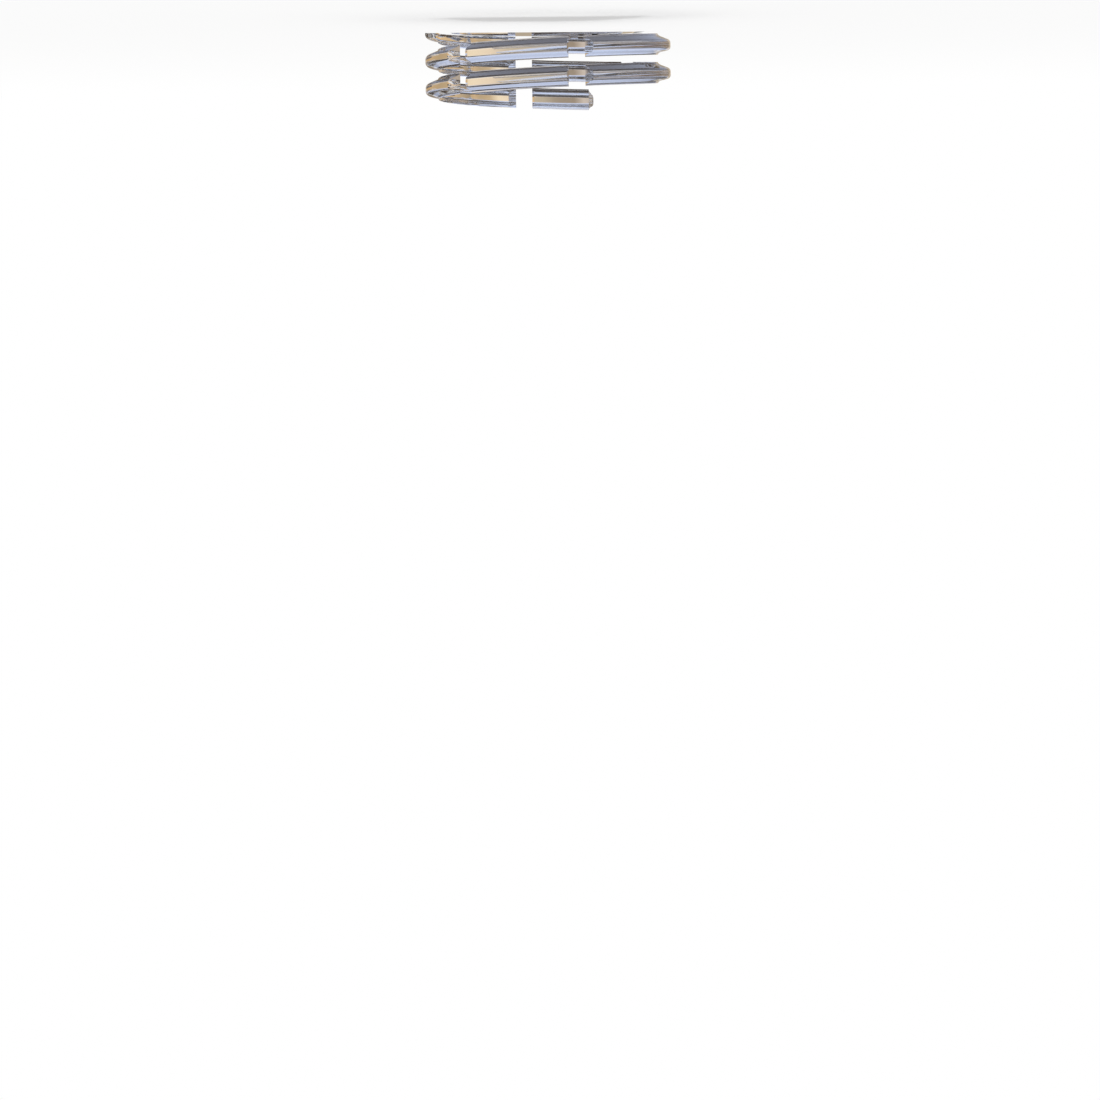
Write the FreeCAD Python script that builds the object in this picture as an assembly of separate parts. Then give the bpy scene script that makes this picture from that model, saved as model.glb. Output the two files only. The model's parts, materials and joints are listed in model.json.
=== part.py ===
"""PET bottle preform with a 28 mm long neck finish, modelled as the one moulded piece that it is.

The preform stands mouth down on its flat lip. The origin is the centre of the lip plane, +Z runs along the
axis to the moulding gate, and every height is measured from the lip. Millimetres and degrees.
"""

import FreeCAD, Part
import math
import os

# Radii of the neck, each built on the one inside it
bore_r = 10.87  # inside of the mouth
neck_wall = 1.41  # wall between the bore and the thread's root
lip_step = 0.19  # how far the lip band stands out of the root
thread_h = 1.435  # height of the thread over its root
bead_h = 1.72  # height of the tamper-evidence bead over the root
neck_step = 0.58  # how far the plain neck stands out of the root
ring_w = 3.64  # width of the support ring over the plain neck
body_step = 0.17  # how far the body's top lies inside the plain neck
root_r = bore_r + neck_wall
lip_r = root_r + lip_step
bead_r = root_r + bead_h
neck_r = root_r + neck_step
ring_r = neck_r + ring_w
body_r = neck_r - body_step

# Lip
lip_edge = 0.62  # rounding of its outer edge
bore_edge = 0.28  # chamfer of its inner edge
lip_band = 1.32  # height of the band

# Thread: right-hand, one start, cut through by the vent slots
pitch = 3.18
thread_clear = 0.36  # bare root between the lip band and the thread's flat start
thread_drop = 0.37  # from the lip band to the middle of the crest, where the thread starts
thread_start = 0.0  # angle of its start, from +X
thread_sweep = 832.0  # angle from its start to its end
root_w = 0.80  # bare root between two turns
crest_break = 0.28  # height of the crest's two broken edges
break_lean = 50.0  # lean of those edges
lead_flank = 22.0  # lean of the flank on the lip's side, where the cap starts
load_flank = 14.0  # lean of the flank that the cap pulls on
foot_h = 0.22  # height of the flanks' eased feet
foot_lean = 50.0  # lean of the feet
foot_sunk = 0.08  # depth of the feet inside the wall

# Vent slots through the thread
vent_angles = (77.0, 137.0, 255.0, 318.0)
vent_w = 1.8  # width at the root
vent_flare = 22.0  # lean of the slots' walls

# Tamper-evidence bead
bead_z = 14.05  # its flat underside
bead_back = 2.18  # from its underside to where its upper side would leave the root
bead_slope = 26.0  # slope of that side
bead_foot = 0.80  # fillet at its foot
bead_round = 1.60  # rounding of its shoulder

# Support ring
ring_z = 21.01  # its underside, which hangs on the machine's rails
ring_rim = 1.28  # height of its rim
ring_slope = 18.0  # slope of its upper side
ring_fillet = 1.60  # between the neck and that side
ring_edge = 0.38  # rounding of the rim's upper edge
ring_under = 0.24  # rounding of the rim's lower edge

# Body, round bottom and gate
body_draft = 0.61
body_end = 119.75  # height of the round bottom's end
gate_r = 1.60
gate_h = 0.70  # how far the gate's stub stands beyond the round bottom
gate_edge = 0.30  # rounding of the stub's edge

# Cavity
bore_len = 21.40  # straight bore of the mouth
step_len = 1.80  # short taper at its end
step_in = 0.39
taper_len = 20.00  # steep taper under the ring
taper_in = 1.09
core_draft = 0.71
base_wall = 2.65  # wall at the gate

chord = 0.05  # how far the flats of a rounding may lie inside its arc


def point(r, z):
    return FreeCAD.Vector(r, 0, z)


def tangent(angle):
    return math.tan(math.radians(angle))


def eased(corners):
    """Points of an outline through corners (r, z, rounding), each rounding a fan of short flats."""
    places = [point(r, z) for r, z, rounding in corners]
    points = [places[0]]
    for i in range(1, len(corners) - 1):
        radius = corners[i][2]
        if radius == 0:
            points.append(places[i])
            continue
        back = (places[i - 1] - places[i]).normalize()
        on = (places[i + 1] - places[i]).normalize()
        half = back.getAngle(on) / 2
        centre = places[i] + (back + on).normalize() * (radius / math.sin(half))
        first = places[i] + back * (radius / math.tan(half)) - centre
        last = places[i] + on * (radius / math.tan(half)) - centre
        turn = math.pi - 2 * half
        flats = math.ceil(turn / (2 * math.acos(1 - chord / radius)))
        for k in range(flats + 1):
            part = k / flats
            arm = first * math.sin((1 - part) * turn) + last * math.sin(part * turn)
            points.append(centre + arm * (1 / math.sin(turn)))
    return points + [places[-1]]


def lines(points):
    return [Part.makeLine(points[i], points[i + 1]) for i in range(len(points) - 1)]


def taper(first, last):
    """A long straight side, held as a spline, which turns into few facets."""
    return Part.makeLine(first, last).toNurbs().Edges[0]


def tip(wall_r, wall_z, draft, end_z, low_r):
    """The arc of a round tip that ends at end_z and carries on a taper through (wall_r, wall_z).

    It stops at radius low_r, short of the axis where a stub stands there. Returns its edge and both its ends.
    """
    lean = math.radians(draft)
    radius = (wall_r * math.cos(lean) - (end_z - wall_z) * math.sin(lean)) / (1 - math.sin(lean))
    stop = math.acos(low_r / radius)
    marks = []
    for turn in (lean, (lean + stop) / 2, stop):
        marks.append(point(radius * math.cos(turn), end_z - radius + radius * math.sin(turn)))
    return Part.Arc(*marks).toShape(), marks[0], marks[2]


def moulded():
    """The whole preform without its thread, turned from one closed section."""
    lip_middle = point((bore_r + lip_r) / 2, 0)
    bead_foot_z = bead_z - bead_back
    rim_z = ring_z - ring_rim
    bottom, body_low, stub_foot = tip(body_r, ring_z, body_draft, body_end, gate_r)
    outside = [
        (lip_middle.x, 0, 0),
        (lip_r, 0, lip_edge),
        (lip_r, lip_band, 0),
        (root_r, lip_band, 0),
        (root_r, bead_foot_z, bead_foot),
        (bead_r, bead_foot_z + bead_h * tangent(bead_slope), bead_round),
        (bead_r, bead_z, 0),
        (neck_r, bead_z, 0),
        (neck_r, rim_z - ring_w * tangent(ring_slope), ring_fillet),
        (ring_r, rim_z, ring_edge),
        (ring_r, ring_z, ring_under),
        (body_r, ring_z, 0),
    ]
    stub_end = body_end + gate_h
    stub = [(gate_r, stub_foot.z, 0), (gate_r, stub_end, gate_edge), (0, stub_end, 0)]
    # the cavity, from its round end back to the mouth
    step_r = bore_r - step_in
    step_z = bore_len + step_len
    taper_r = step_r - taper_in
    taper_z = step_z + taper_len
    core_tip, core_low, core_end = tip(taper_r, taper_z, core_draft, body_end - base_wall, 0)
    mouth = [point(taper_r, taper_z), point(step_r, step_z), point(bore_r, bore_len)]
    mouth += [point(bore_r, bore_edge), point(bore_r + bore_edge, 0), lip_middle]
    section = lines(eased(outside)) + [taper(point(body_r, ring_z), body_low), bottom]
    section += lines(eased(stub)) + lines([point(0, stub_end), core_end])
    section += [core_tip, taper(core_low, mouth[0])] + lines(mouth)
    return Part.Face(Part.Wire(section)).revolve(point(0, 0), point(0, 1), 360)


def thread():
    """The bare thread, swept along its helix, with its feet sunk in the wall."""
    breast = crest_break * tangent(break_lean)
    flank_h = thread_h - crest_break - foot_h
    lead = flank_h * tangent(lead_flank)
    load = flank_h * tangent(load_flank)
    foot = foot_h * tangent(foot_lean)
    sunk = foot_sunk * tangent(foot_lean)
    crest = (pitch - root_w - lead - load) / 2 - breast - foot
    steps = [
        (-foot_sunk, crest + breast + lead + foot + sunk, crest + breast + load + foot + sunk),
        (foot_h, crest + breast + lead, crest + breast + load),
        (thread_h - crest_break, crest + breast, crest + breast),
        (thread_h, crest, crest),
    ]
    corners = [point(root_r + height, -up) for height, up, down in steps]
    corners += [point(root_r + height, down) for height, up, down in reversed(steps)]
    section = Part.makePolygon(corners + corners[:1])
    helix = Part.makeHelix(pitch, pitch * thread_sweep / 360, root_r)
    swept = Part.Wire(helix.Edges).makePipeShell([section], True, True)
    swept.translate(point(0, lip_band + thread_drop))
    swept.rotate(point(0, 0), point(0, 1), thread_start)
    return swept


def vent(angle):
    """What one vent slot takes from the thread: a prism that widens outwards."""
    inner = root_r - 2 * foot_sunk
    outer = root_r + thread_h + 2 * foot_sunk
    low = vent_w / 2
    high = low + (outer - root_r) * tangent(vent_flare)
    corners = [(inner, -low), (root_r, -low), (outer, -high), (outer, high), (root_r, low), (inner, low)]
    outline = Part.makePolygon([FreeCAD.Vector(x, y, 0) for x, y in corners + corners[:1]])
    prism = Part.Face(outline).extrude(point(0, bead_z))
    prism.rotate(point(0, 0), point(0, 1), angle)
    return prism


lip_side = Part.makeCylinder(ring_r, lip_band + thread_clear + pitch, point(0, -pitch))
turns = thread().cut([lip_side] + [vent(angle) for angle in vent_angles])
preform = moulded().fuse(turns.Solids).removeSplitter()
os.makedirs("parts", exist_ok=True)
preform.Solids[0].exportStep("parts/preform.step")
print("preform:", len(preform.Solids), "solid,", round(preform.Volume, 1), "mm3, valid:", preform.isValid())
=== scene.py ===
# %% [markdown]
# # A clear bottle preform
# A preform is the thick tube that a drinks bottle is blown from: one moulding of clear PET plastic, with a
# finished screw neck and its support ring, a tapered body, a round closed end and the stub of the moulding
# gate. It stands mouth down here, as a real one can stand, and the camera is turned upside down with it.

# %% Open the frame
import json
import math

import bpy
import bmesh
from mathutils import Matrix, Vector

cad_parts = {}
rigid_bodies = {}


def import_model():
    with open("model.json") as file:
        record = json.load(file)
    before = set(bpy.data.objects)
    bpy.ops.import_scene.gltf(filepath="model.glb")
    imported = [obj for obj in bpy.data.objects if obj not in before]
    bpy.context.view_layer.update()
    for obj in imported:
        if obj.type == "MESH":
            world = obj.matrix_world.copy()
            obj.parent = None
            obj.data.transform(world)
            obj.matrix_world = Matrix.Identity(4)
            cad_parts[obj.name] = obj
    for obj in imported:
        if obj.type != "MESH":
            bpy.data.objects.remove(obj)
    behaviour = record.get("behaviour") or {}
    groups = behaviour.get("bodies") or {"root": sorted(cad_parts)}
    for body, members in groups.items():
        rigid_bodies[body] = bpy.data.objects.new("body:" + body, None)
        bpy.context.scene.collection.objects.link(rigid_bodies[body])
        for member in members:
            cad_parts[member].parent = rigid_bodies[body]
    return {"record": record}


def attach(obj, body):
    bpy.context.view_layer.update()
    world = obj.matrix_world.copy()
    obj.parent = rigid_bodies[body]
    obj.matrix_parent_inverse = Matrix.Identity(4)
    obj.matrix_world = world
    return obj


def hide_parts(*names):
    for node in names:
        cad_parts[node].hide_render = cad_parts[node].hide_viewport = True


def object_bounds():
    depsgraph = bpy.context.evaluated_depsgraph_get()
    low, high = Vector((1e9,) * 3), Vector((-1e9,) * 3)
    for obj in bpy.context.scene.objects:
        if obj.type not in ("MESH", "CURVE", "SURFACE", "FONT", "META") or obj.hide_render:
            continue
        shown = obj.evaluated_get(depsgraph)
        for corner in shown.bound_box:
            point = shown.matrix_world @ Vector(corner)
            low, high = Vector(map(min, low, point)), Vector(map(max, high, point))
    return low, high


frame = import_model()
cad_low, cad_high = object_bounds()
mm = 0.001
print("solid model, mm:", [round(side / mm, 2) for side in cad_high - cad_low])

# %% [markdown]
# ## Sizes
# The frame gives the sizes that other parts touch: the ring's radius and its face, the bore, the overall
# height. The rest are the preform's own, and each radius is built on the one inside it, as on a drawing.

# %% Sizes of the neck
mounts = {mount["name"]: mount for mount in frame["record"]["mounts"]}
bore_r = mounts["mouth_bore"]["dims"]["r_mm"] * mm
ring_z = mounts["support_ring_face"]["pos_m"][2]
ring_r = cad_high.x
end_z = cad_high.z
root_r = bore_r + 1.41 * mm
lip_r = root_r + 0.19 * mm
thread_h = 1.435 * mm
bead_r = root_r + 1.72 * mm
neck_r = root_r + 0.58 * mm
body_r = neck_r - 0.17 * mm
lip_band = 1.32 * mm
bead_z = 14.05 * mm
bead_foot_z = bead_z - 2.18 * mm
bead_slope = math.radians(26)
rim_z = ring_z - 1.28 * mm
cone_slope = math.radians(18)
print("neck radii, mm:", [round(r / mm, 2) for r in (bore_r, root_r, lip_r, neck_r, bead_r, ring_r)])

# %% Sizes of the body, the cavity and the gate
gate_r = 1.60 * mm
body_end = end_z - 0.70 * mm
body_draft = math.radians(0.61)
core_draft = math.radians(0.71)
core_end = body_end - 2.65 * mm
bore_end_z = 21.4 * mm
step_r, step_z = bore_r - 0.39 * mm, 23.2 * mm
taper_r, taper_z = step_r - 1.09 * mm, 43.2 * mm


def tip_radius(wall_r, wall_z, draft, last_z):
    """Radius of the round end that closes a tapered tube at last_z."""
    return (wall_r * math.cos(draft) - (last_z - wall_z) * math.sin(draft)) / (1 - math.sin(draft))


body_tip = tip_radius(body_r, ring_z, body_draft, body_end)
core_tip = tip_radius(taper_r, taper_z, core_draft, core_end)
print("round ends, mm:", round(body_tip / mm, 2), "outside,", round(core_tip / mm, 2), "inside")

# %% [markdown]
# ## Drawing an outline point by point
# Everything but the thread is turned, so it starts as half an outline in the XZ plane. One vertex is
# extruded from corner to corner, a round end is spun from the last vertex, and the closed outline is
# filled, because a vertex bevel, which rounds its corners, needs a face to cut back.

# %% Helpers that draw
flat = math.radians(9)  # how far one flat of a rounding may turn
weld = 0.002 * mm  # points nearer than this are one point


def place(r, z):
    return Vector((r, 0, z))


def edited():
    """The mesh that is being edited, as bmesh."""
    return bmesh.from_edit_mesh(bpy.context.object.data)


def open_edges():
    """How many edges of the edited mesh don't lie between two faces."""
    return sum(1 for e in edited().edges if len(e.link_faces) != 2)


def pick(test, kind="verts"):
    """Selects the vertices, edges or faces that pass the test, and says how many there are."""
    mesh = edited()
    bpy.ops.mesh.select_all(action="DESELECT")
    found = [item for item in getattr(mesh, kind) if test(item)]
    for item in found:
        item.select_set(True)
    mesh.select_flush_mode()
    bmesh.update_edit_mesh(bpy.context.object.data)
    return len(found)


def put_pen(name, r, z):
    """A new object of one vertex at (r, z), in edit mode."""
    bpy.ops.object.select_all(action="DESELECT")
    bpy.ops.mesh.primitive_plane_add(size=mm)
    bpy.context.object.name = name
    bpy.context.object.data.name = name
    bpy.ops.object.mode_set(mode="EDIT")
    bpy.ops.mesh.select_mode(type="VERT")
    bpy.ops.mesh.merge(type="CENTER")
    bpy.ops.transform.translate(value=place(r, z))
    return bpy.context.object


def line_to(r, z):
    pen = [v.co for v in edited().verts if v.select][0]
    bpy.ops.mesh.extrude_vertices_move(TRANSFORM_OT_translate={"value": place(r, z) - pen})


def arc_to_axis(centre_z, turn, flats):
    """Spins the pen round a centre on the axis, through the turn."""
    bpy.ops.mesh.spin(steps=flats, angle=turn, center=place(0, centre_z), axis=(0, -1, 0))


def round_corner(r, z, radius):
    """Rounds the outline's corner at (r, z) with an arc of that radius."""
    pick(lambda v: (v.co - place(r, z)).length < 0.004 * mm)
    corner = [v for v in edited().verts if v.select][0]
    sides = [(e.other_vert(corner).co - corner.co).normalized() for e in corner.link_edges]
    half = sides[0].angle(sides[1]) / 2
    flats = max(2, round((math.pi - 2 * half) / flat))
    reach = radius / math.tan(half)
    bpy.ops.mesh.bevel(offset=reach, segments=flats, profile=0.5, affect="VERTICES", clamp_overlap=False)


# %% [markdown]
# ## The turned body
# The moulding tool is turned on a lathe, and so is this piece: the outline runs from the flat lip up the
# outside of the neck, round the closed end and the gate, and back down the cavity to the mouth.

# %% Outline of the body
dome_flats = 40
body = put_pen("preform_body", bore_r, 0)
line_to(lip_r, 0)
line_to(lip_r, lip_band)
line_to(root_r, lip_band)
line_to(root_r, bead_foot_z)
line_to(bead_r, bead_foot_z + (bead_r - root_r) * math.tan(bead_slope))
bead_shoulder_z = [v.co.z for v in edited().verts if v.select][0]
line_to(bead_r, bead_z)
line_to(neck_r, bead_z)
cone_foot_z = rim_z - (ring_r - neck_r) * math.tan(cone_slope)
line_to(neck_r, cone_foot_z)
line_to(ring_r, rim_z)
line_to(ring_r, ring_z)
line_to(body_r, ring_z)
body_low_z = body_end - body_tip * (1 - math.sin(body_draft))
line_to(body_tip * math.cos(body_draft), body_low_z)
gate_turn = math.acos(gate_r / body_tip)
arc_to_axis(body_end - body_tip, body_draft - gate_turn, dome_flats)
gate_foot_z = body_end - body_tip * (1 - math.sin(gate_turn))
line_to(gate_r, end_z)
line_to(0, end_z)
line_to(0, core_end)
arc_to_axis(core_end - core_tip, math.pi / 2 - core_draft, dome_flats)
line_to(taper_r, taper_z)
line_to(step_r, step_z)
line_to(bore_r, bore_end_z)
bpy.ops.mesh.select_all(action="SELECT")
bpy.ops.mesh.remove_doubles(threshold=weld)
bpy.ops.mesh.select_all(action="SELECT")
bpy.ops.mesh.edge_face_add()
print("outline:", len(edited().verts), "points,", len(edited().faces), "face")

# %% [markdown]
# Nothing that comes out of a mould is quite sharp. Each corner of the outline gets the radius that the tool
# has there: tight where two halves of the tool meet, wide where the plastic has to flow.

# %% Round its corners
corners = [  # where each corner is, and its rounding in mm
    (bore_r, 0, 0.28),
    (lip_r, 0, 0.62),
    (lip_r, lip_band, 0.08),
    (root_r, lip_band, 0.08),
    (root_r, bead_foot_z, 0.80),
    (bead_r, bead_shoulder_z, 1.60),
    (bead_r, bead_z, 0.12),
    (neck_r, bead_z, 0.20),
    (neck_r, cone_foot_z, 1.60),
    (ring_r, rim_z, 0.38),
    (ring_r, ring_z, 0.24),
    (body_r, ring_z, 0.30),
    (gate_r, gate_foot_z, 0.30),
    (gate_r, end_z, 0.30),
    (taper_r, taper_z, 12),
    (step_r, step_z, 4),
    (bore_r, bore_end_z, 2),
]
for corner_r, corner_z, rounding in corners:
    round_corner(corner_r, corner_z, rounding * mm)
print("rounded outline:", len(edited().verts), "points")

# %% [markdown]
# The filled face has done its work once the corners are round. It is taken away, and the bare outline is
# spun once round the axis, on which its ends lie, so that nothing is left open when doubles are merged.

# %% Turn it
around = 288  # flats round the axis
pick(lambda f: True, "faces")
bpy.ops.mesh.delete(type="ONLY_FACE")
pick(lambda e: all(v.co.x < 0.001 * mm for v in e.verts), "edges")
bpy.ops.mesh.delete(type="EDGE")
bpy.ops.mesh.select_all(action="SELECT")
bpy.ops.mesh.spin(steps=around, angle=math.tau, center=(0, 0, 0), axis=(0, 0, 1))
bpy.ops.mesh.select_all(action="SELECT")
bpy.ops.mesh.remove_doubles(threshold=weld)
bpy.ops.mesh.normals_make_consistent(inside=False)
print("turned body:", len(edited().faces), "faces,", open_edges(), "open edges")
bpy.ops.object.mode_set(mode="OBJECT")

# %% [markdown]
# ## The thread
# The cap's thread is one ridge that climbs round the neck a little over twice. Its section is drawn like
# the body's, with a wide skirt just under the wall's surface so that its feet flow into the wall, and a
# Screw modifier carries it round while it climbs by one pitch a turn.

# %% Section of the thread
pitch = 3.18 * mm
sweep = math.radians(832)
start_z = lip_band + 0.37 * mm
lead_lean, load_lean = math.radians(22), math.radians(14)
crest = 1.05 * mm
skirt = 0.40 * mm
skirt_sunk = 0.03 * mm
root_sunk = 0.30 * mm
foot_low = -crest / 2 - thread_h * math.tan(lead_lean)
foot_high = crest / 2 + thread_h * math.tan(load_lean)
thread = put_pen("thread", root_r - root_sunk, foot_low - skirt)
line_to(root_r - skirt_sunk, foot_low - skirt)
line_to(root_r, foot_low)
line_to(root_r + thread_h, -crest / 2)
line_to(root_r + thread_h, crest / 2)
line_to(root_r, foot_high)
line_to(root_r - skirt_sunk, foot_high + skirt)
line_to(root_r - root_sunk, foot_high + skirt)
bpy.ops.mesh.select_all(action="SELECT")
bpy.ops.mesh.edge_face_add()
round_corner(root_r, foot_low, 0.42 * mm)
round_corner(root_r, foot_high, 0.40 * mm)
round_corner(root_r + thread_h, -crest / 2, 0.48 * mm)
round_corner(root_r + thread_h, crest / 2, 0.44 * mm)
print("thread section:", len(edited().verts), "points")

# %% Sweep it
pick(lambda f: True, "faces")
bpy.ops.mesh.delete(type="ONLY_FACE")
bpy.ops.mesh.select_all(action="SELECT")
bpy.ops.transform.translate(value=(0, 0, start_z))
bpy.ops.object.mode_set(mode="OBJECT")
screw = thread.modifiers.new("sweep", "SCREW")
screw.axis = "Z"
screw.angle = sweep
screw.screw_offset = pitch * sweep / math.tau
screw.steps = screw.render_steps = round(around * sweep / math.tau)
screw.use_merge_vertices = False
bpy.ops.object.modifier_apply(modifier="sweep")
bpy.ops.object.mode_set(mode="EDIT")
bpy.ops.mesh.select_mode(type="EDGE")
pick(lambda e: e.is_boundary, "edges")
bpy.ops.mesh.fill(use_beauty=True)
bpy.ops.mesh.select_all(action="SELECT")
bpy.ops.mesh.normals_make_consistent(inside=False)
last = max(v.co.z for v in edited().verts)
print("swept thread:", len(edited().faces), "faces, up to", round(last / mm, 2), "mm")

# %% [markdown]
# Nothing of the thread stands below the lip band, so a bisect at that height cuts its start into a wedge
# that grows out of the band.

# %% Trim its start
bpy.ops.mesh.select_all(action="SELECT")
thread_clear = lip_band + 0.36 * mm
bpy.ops.mesh.bisect(plane_co=(0, 0, thread_clear), plane_no=(0, 0, 1), use_fill=True, clear_inner=True)
print("trimmed thread:", len(edited().faces), "faces,", open_edges(), "open edges")
bpy.ops.object.mode_set(mode="OBJECT")

# %% [markdown]
# ## Vent slots
# Four upright slots cut through the turns, so that gas can leave under a loosened cap. Each cutter is a
# cube whose outer face is scaled wider, because a mould's slots open outwards.

# %% Sizes of the slots
slot_angles = (77, 137, 255, 318)
slot_w = 1.8 * mm
slot_lean = math.radians(22)
slot_in = root_r - 0.16 * mm
slot_out = root_r + thread_h + 0.4 * mm
slot_flare = 1 + 2 * (slot_out - slot_in) * math.tan(slot_lean) / slot_w
print("slots:", len(slot_angles), "of", round(slot_w / mm, 2), "mm, opening", round(slot_flare, 2), "fold")

# %% Cut them
for angle in slot_angles:
    bpy.ops.object.select_all(action="DESELECT")
    middle = ((slot_in + slot_out) / 2, 0, bead_z / 2)
    bpy.ops.mesh.primitive_cube_add(size=1, location=middle, scale=(slot_out - slot_in, slot_w, bead_z))
    cutter = bpy.context.object
    bpy.ops.object.transform_apply(location=True, rotation=True, scale=True)
    bpy.ops.object.mode_set(mode="EDIT")
    bpy.ops.mesh.select_mode(type="FACE")
    pick(lambda f: f.normal.x > 0.9, "faces")
    bpy.ops.transform.resize(value=(1, slot_flare, 1))
    bpy.ops.object.mode_set(mode="OBJECT")
    cutter.rotation_euler.z = math.radians(angle)
    bpy.ops.object.transform_apply(location=True, rotation=True, scale=True)
    bpy.context.view_layer.objects.active = thread
    cut = thread.modifiers.new("slot", "BOOLEAN")
    cut.operation = "DIFFERENCE"
    cut.solver = "EXACT"
    cut.object = cutter
    bpy.ops.object.modifier_apply(modifier="slot")
    bpy.data.objects.remove(cutter)
print("slotted thread:", len(thread.data.polygons), "faces")

# %% [markdown]
# ## One moulding
# Body and thread come out of one tool, so the two meshes are united, and no wall is left between them for
# light to bend at. Weighted normals keep the long tapers straight to the eye: a wide face then sets the
# shading at its edge, and the roundings beside it take up the turn.

# %% Unite them
sliver = 0.001 * mm
bpy.ops.object.select_all(action="DESELECT")
bpy.context.view_layer.objects.active = body
body.select_set(True)
join = body.modifiers.new("thread", "BOOLEAN")
join.operation = "UNION"
join.solver = "EXACT"
join.object = thread
bpy.ops.object.modifier_apply(modifier="thread")
bpy.data.objects.remove(thread)
bpy.ops.object.mode_set(mode="EDIT")
bpy.ops.mesh.select_all(action="SELECT")
bpy.ops.mesh.remove_doubles(threshold=sliver)
bpy.ops.mesh.dissolve_degenerate(threshold=sliver)
print("preform:", len(edited().faces), "faces,", open_edges(), "open edges")
bpy.ops.object.mode_set(mode="OBJECT")

# %% Smooth it and hand it over
keep_sharp = math.radians(32)
bpy.ops.object.shade_smooth_by_angle(angle=keep_sharp)
weigh = body.modifiers.new("even shading", "WEIGHTED_NORMAL")
weigh.keep_sharp = True
bpy.ops.object.modifier_apply(modifier="even shading")
body.data.calc_loop_triangles()
print("preform:", len(body.data.loop_triangles), "triangles")
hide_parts("preform")
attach(body, "root")

# %% [markdown]
# ## Wiring shaders
# Materials and the world are made of nodes. A few helpers keep the wiring short: each adds one node, feeds
# its sockets with a number or with another node's output, and hands its own output on.

# %% Helpers that wire nodes
def wire(owner):
    """Gives a material or a world its nodes, and points the helpers at them."""
    global nodes, links
    owner.use_nodes = True
    nodes, links = owner.node_tree.nodes, owner.node_tree.links


def node(kind, **settings):
    made = nodes.new(kind)
    for name, value in settings.items():
        setattr(made, name, value)
    return made


def feed(socket, value):
    if hasattr(value, "links"):
        links.new(value, socket)
    else:
        socket.default_value = value


def maths(operation, first, second=0):
    made = node("ShaderNodeMath", operation=operation)
    feed(made.inputs[0], first)
    feed(made.inputs[1], second)
    return made.outputs[0]


def step(value, low, high):
    """0 below low, 1 above high, and a smooth climb between them."""
    made = node("ShaderNodeMapRange", interpolation_type="SMOOTHSTEP")
    feed(made.inputs["Value"], value)
    made.inputs["From Min"].default_value = low
    made.inputs["From Max"].default_value = high
    return made.outputs["Result"]


def blend(share, first, second):
    made = node("ShaderNodeMix", data_type="RGBA")
    feed(made.inputs["Factor"], share)
    feed(made.inputs["A"], first if hasattr(first, "links") else (*first, 1))
    feed(made.inputs["B"], second if hasattr(second, "links") else (*second, 1))
    return made.outputs["Result"]


def mix_shaders(share, first, second):
    made = node("ShaderNodeMixShader")
    links.new(share, made.inputs["Fac"])
    links.new(first, made.inputs[1])
    links.new(second, made.inputs[2])
    return made.outputs["Shader"]


# %% [markdown]
# ## Clear PET
# The plastic is glass-like: colourless, glossy, and a little hazy where it has touched the mould. Full
# transmission with PET's own index of refraction lets the thick wall bend light as the real one does. Its
# roughness wavers slightly, as moulded skin does. Lamps shine through it, so a shadow ray passes it almost
# unhindered instead of leaving a black shadow.

# %% The plastic
pet_ior = 1.575
pet = bpy.data.materials.new("clear_pet")
wire(pet)
plastic = nodes["Principled BSDF"]
plastic.inputs["Base Color"].default_value = (0.965, 0.965, 0.962, 1)
plastic.inputs["Transmission Weight"].default_value = 1
plastic.inputs["IOR"].default_value = pet_ior
plastic.inputs["Metallic"].default_value = 0
print("plastic with an index of refraction of", pet_ior)

# %% Its moulded skin
skin_grain = 220
smoothest, dullest = 0.01, 0.05
where = node("ShaderNodeTexCoord")
haze = node("ShaderNodeTexNoise")
haze.inputs["Scale"].default_value = skin_grain
haze.inputs["Detail"].default_value = 2
links.new(where.outputs["Object"], haze.inputs["Vector"])
sheen = node("ShaderNodeMapRange")
sheen.inputs["To Min"].default_value = smoothest
sheen.inputs["To Max"].default_value = dullest
links.new(haze.outputs["Fac"], sheen.inputs["Value"])
links.new(sheen.outputs["Result"], plastic.inputs["Roughness"])
print("roughness from", smoothest, "to", dullest)

# %% Its shadow
seen = node("ShaderNodeLightPath")
let_through = node("ShaderNodeBsdfTransparent")
let_through.inputs["Color"].default_value = (0.88, 0.88, 0.88, 1)
lit = mix_shaders(seen.outputs["Is Shadow Ray"], plastic.outputs["BSDF"], let_through.outputs["BSDF"])
links.new(lit, nodes["Material Output"].inputs["Surface"])
body.data.materials.clear()
body.data.materials.append(pet)
print("material:", pet.name, "on", body.name)

# %% [markdown]
# ## Studio
# Clear plastic has no colour of its own to show. What the eye sees in it is the room, bent by its walls: a
# wall seen edge on gathers light from far round the sides, and the middle shows what stands straight
# behind. So the room is a ring of soft screens, and the world's colour is chosen by the direction in which
# a ray leaves the part. It belongs to the room and not to the plastic, which stays plain and clear under
# any other light. Lamps would add hard spots that such a soft room doesn't have.

# %% Directions in the room
world = bpy.data.worlds.new("studio")
bpy.context.scene.world = world
wire(world)
nodes.clear()
direction = node("ShaderNodeTexCoord")
split = node("ShaderNodeSeparateXYZ")
links.new(direction.outputs["Generated"], split.inputs["Vector"])
bearing = maths("ARCTAN2", split.outputs["X"], split.outputs["Y"])
height = split.outputs["Z"]
print("world:", world.name)


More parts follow.
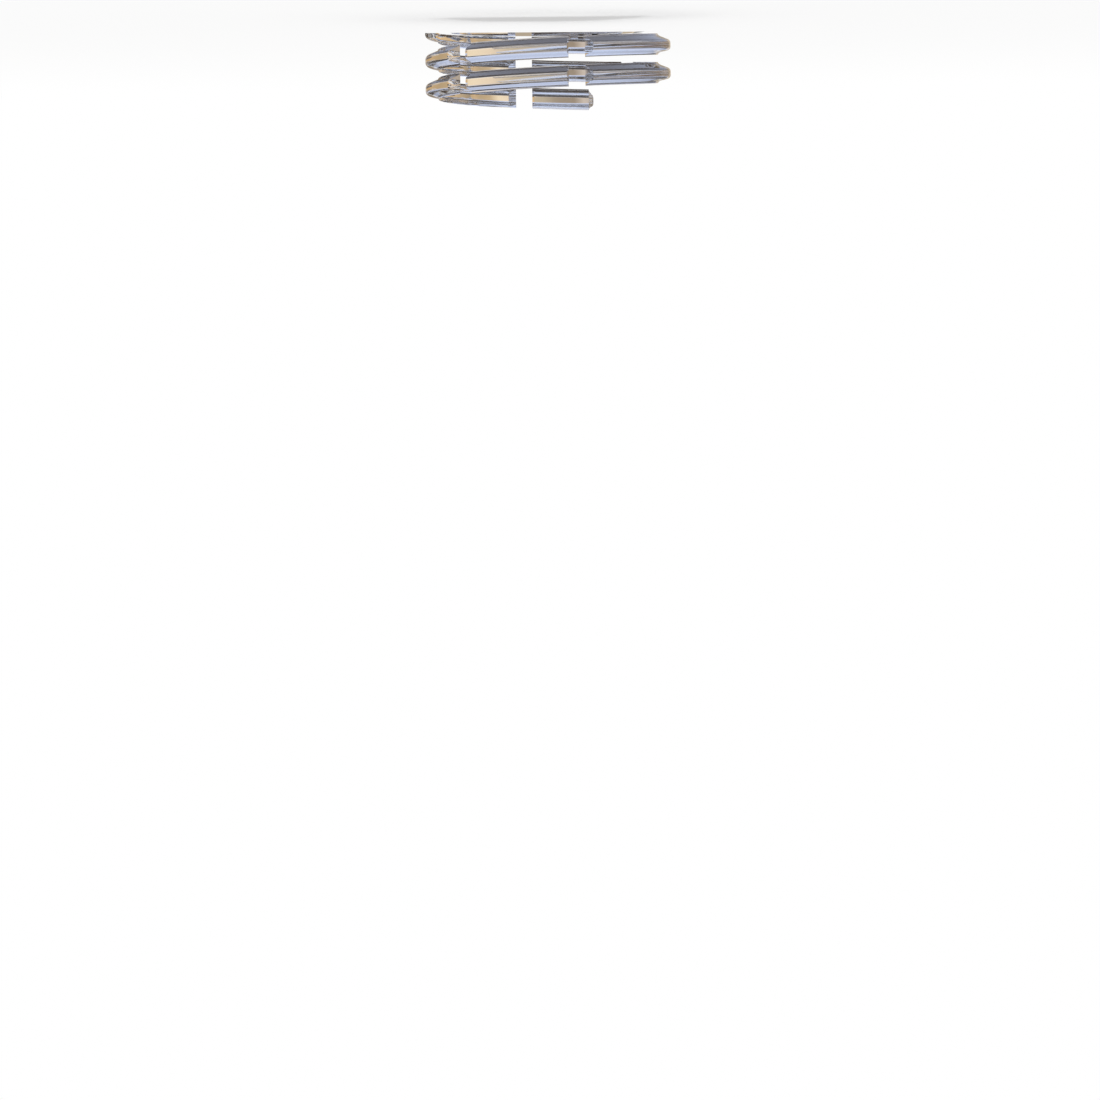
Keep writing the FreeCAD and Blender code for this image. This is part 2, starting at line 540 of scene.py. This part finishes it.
def screen(bearing, stops):
    """A colour for each bearing in degrees: 0 is straight behind, 90 is at +X and 180 is in front."""
    made = node("ShaderNodeValToRGB")
    feed(made.inputs["Fac"], maths("ADD", maths("DIVIDE", bearing, math.tau), 0.5))
    ramp = made.color_ramp
    while len(ramp.elements) > 1:
        ramp.elements.remove(ramp.elements[-1])
    for i, (degrees, colour) in enumerate(stops.items()):
        stop = ramp.elements[0] if i == 0 else ramp.elements.new(degrees / 360 + 0.5)
        stop.position = degrees / 360 + 0.5
        stop.color = (*colour, 1)
    return made.outputs["Color"]


# %% [markdown]
# ### Screens beside the part
# Rays that have only crossed a wall end on these: dark cloth on the +X side, a warm wall on the other side,
# and narrow strips between them that give the walls of the tube their stripes.

# %% Screens beside it
edges = {
    -180: (0.10, 0.10, 0.11),
    -120: (0.10, 0.10, 0.11),
    -80: (0.60, 0.44, 0.26),
    -62: (0.66, 0.47, 0.27),
    -55: (0.80, 0.52, 0.24),
    -47: (0.66, 0.44, 0.21),
    -44: (0.80, 0.60, 0.34),
    -40: (0.70, 0.47, 0.23),
    -33: (0.66, 0.46, 0.25),
    -27: (0.52, 0.38, 0.22),
    -20: (0.58, 0.42, 0.24),
    -15: (0.92, 0.76, 0.54),
    -10: (0.84, 0.68, 0.50),
    -6: (0.56, 0.47, 0.34),
    -1: (0.50, 0.42, 0.31),
    2: (0.36, 0.29, 0.22),
    7: (0.34, 0.27, 0.20),
    10: (0.62, 0.53, 0.45),
    14: (0.50, 0.43, 0.37),
    20: (0.20, 0.145, 0.10),
    31: (0.21, 0.14, 0.085),
    40: (0.22, 0.145, 0.09),
    45: (0.09, 0.05, 0.03),
    50: (0.13, 0.07, 0.045),
    54: (0.055, 0.036, 0.026),
    75: (0.05, 0.035, 0.026),
    120: (0.10, 0.10, 0.11),
    180: (0.10, 0.10, 0.11),
}
print("screens beside the part:", len(edges))

# %% [markdown]
# ### Screens behind the part
# Rays that have crossed the near wall and the far wall end on these: pale paper, a little warmer and darker
# to either side of the bright middle.

# %% Screens behind it
behind = {
    -180: (0.87, 0.87, 0.88),
    -100: (0.86, 0.84, 0.81),
    -30: (0.83, 0.74, 0.65),
    -20: (0.80, 0.73, 0.67),
    -8: (0.80, 0.77, 0.745),
    -6.5: (0.885, 0.88, 0.88),
    6.5: (0.885, 0.885, 0.885),
    8: (0.80, 0.78, 0.76),
    20: (0.80, 0.74, 0.68),
    30: (0.82, 0.74, 0.66),
    100: (0.86, 0.84, 0.81),
    180: (0.87, 0.87, 0.88),
}
print("screens behind the part:", len(behind))

# %% [markdown]
# ### Above and below
# The round end bends light steeply upwards, and the neck bends some of it down. Above the screens there is
# a bright slit with the dark ceiling over it, and low down the room is a cool blue-grey. The camera and the
# floor see plain white in every direction.

# %% Put the room together
slit_from, slit_to = 0.150, 0.156
ceiling_from, ceiling_to = 0.170, 0.180
low_from, low_to = -0.15, -0.35
edge_light = blend(step(height, slit_from, slit_to), screen(bearing, edges), (1.0, 0.97, 0.92))
edge_light = blend(step(height, ceiling_from, ceiling_to), edge_light, (0.075, 0.064, 0.058))
edge_light = blend(step(height, low_from, low_to), edge_light, (0.62, 0.70, 0.92))
back_light = blend(step(height, slit_from, slit_to), screen(bearing, behind), (1.0, 1.0, 1.0))
back_light = blend(step(height, ceiling_from, ceiling_to), back_light, (0.84, 0.86, 0.90))
path = node("ShaderNodeLightPath")
through = maths("GREATER_THAN", path.outputs["Transmission Depth"], 2.5)
straight = maths("MAXIMUM", path.outputs["Is Camera Ray"], path.outputs["Is Diffuse Ray"])
seen_colour = blend(through, edge_light, back_light)
sky = node("ShaderNodeBackground")
links.new(blend(straight, seen_colour, (1, 1, 1)), sky.inputs["Color"])
out = node("ShaderNodeOutputWorld")
links.new(sky.outputs["Background"], out.inputs["Surface"])
print("nodes in the world:", len(nodes))

# %% [markdown]
# ## Floor
# The part stands on pale paper that runs on into white. Matt paper alone would turn grey with distance, and
# glowing paper would lose the part's shadow, so the two are mixed: almost half matt under the part, where
# the shadow falls, and all glow further out. Rays that the plastic has bent or mirrored pass the paper, so
# that the room's colours reach the plastic from below too.

# %% Floor
floor_side = 6
bpy.ops.object.select_all(action="DESELECT")
bpy.ops.mesh.primitive_plane_add(size=floor_side)
floor = bpy.context.object
floor.name = "floor"
print("floor:", floor_side, "m square")

# %% Its paper
glow_near, glow_gain = 0.55, 0.45
glow_r = 0.25
paper = bpy.data.materials.new("pale_floor")
wire(paper)
nodes.clear()
matt = node("ShaderNodeBsdfDiffuse")
matt.inputs["Color"].default_value = (0.92, 0.92, 0.92, 1)
glow = node("ShaderNodeEmission")
place_on = node("ShaderNodeTexCoord")
length = node("ShaderNodeVectorMath", operation="LENGTH")
links.new(place_on.outputs["Object"], length.inputs[0])
far = step(length.outputs["Value"], 0.0, glow_r)
share = maths("ADD", maths("MULTIPLY", far, glow_gain), glow_near)
lit = mix_shaders(share, matt.outputs["BSDF"], glow.outputs["Emission"])
path = node("ShaderNodeLightPath")
bent = maths("MAXIMUM", path.outputs["Is Glossy Ray"], path.outputs["Is Transmission Ray"])
clear = node("ShaderNodeBsdfTransparent")
whole = mix_shaders(bent, lit, clear.outputs["BSDF"])
out = node("ShaderNodeOutputMaterial")
links.new(whole, out.inputs["Surface"])
floor.data.materials.append(paper)
print("paper: all glow from", glow_r, "m outwards")

# %% [markdown]
# ## Camera
# A long lens from far off keeps the tube's sides nearly straight. The camera looks from -Y and is rolled by
# almost half a turn, so that the neck is at the top although the part stands on it. What is left of the
# half turn is the slight lean with which the part is seen.

# %% Camera
view = bpy.data.cameras.new("camera")
camera = bpy.data.objects.new("camera", view)
bpy.context.scene.collection.objects.link(camera)
eye = Vector((0.37 * mm, -670 * mm, 31.5 * mm))
aim = Vector((0.37 * mm, 0, 59.70 * mm))
seen_width = 123.5 * mm
lean = 0.62
view.sensor_width = 36
view.lens = view.sensor_width * (aim - eye).length / seen_width
view.clip_end = 20
camera.location = eye
facing = (aim - eye).to_track_quat("-Z", "Y").to_matrix().to_4x4()
roll = Matrix.Rotation(math.radians(180 - lean), 4, "Z")
camera.rotation_euler = (facing @ roll).to_euler()
bpy.context.scene.camera = camera
print("lens:", round(view.lens, 1), "mm")

# %% [markdown]
# ## Light through many walls
# A ray meets up to a dozen surfaces in the neck. Enough bounces are allowed for it to get out again, since
# one that is cut short leaves a black fleck.

# %% Bounces
scene = bpy.context.scene
scene.view_settings.view_transform = "Standard"
scene.cycles.max_bounces = 24
scene.cycles.glossy_bounces = 16
scene.cycles.transmission_bounces = 16
print("bounces:", scene.cycles.max_bounces)
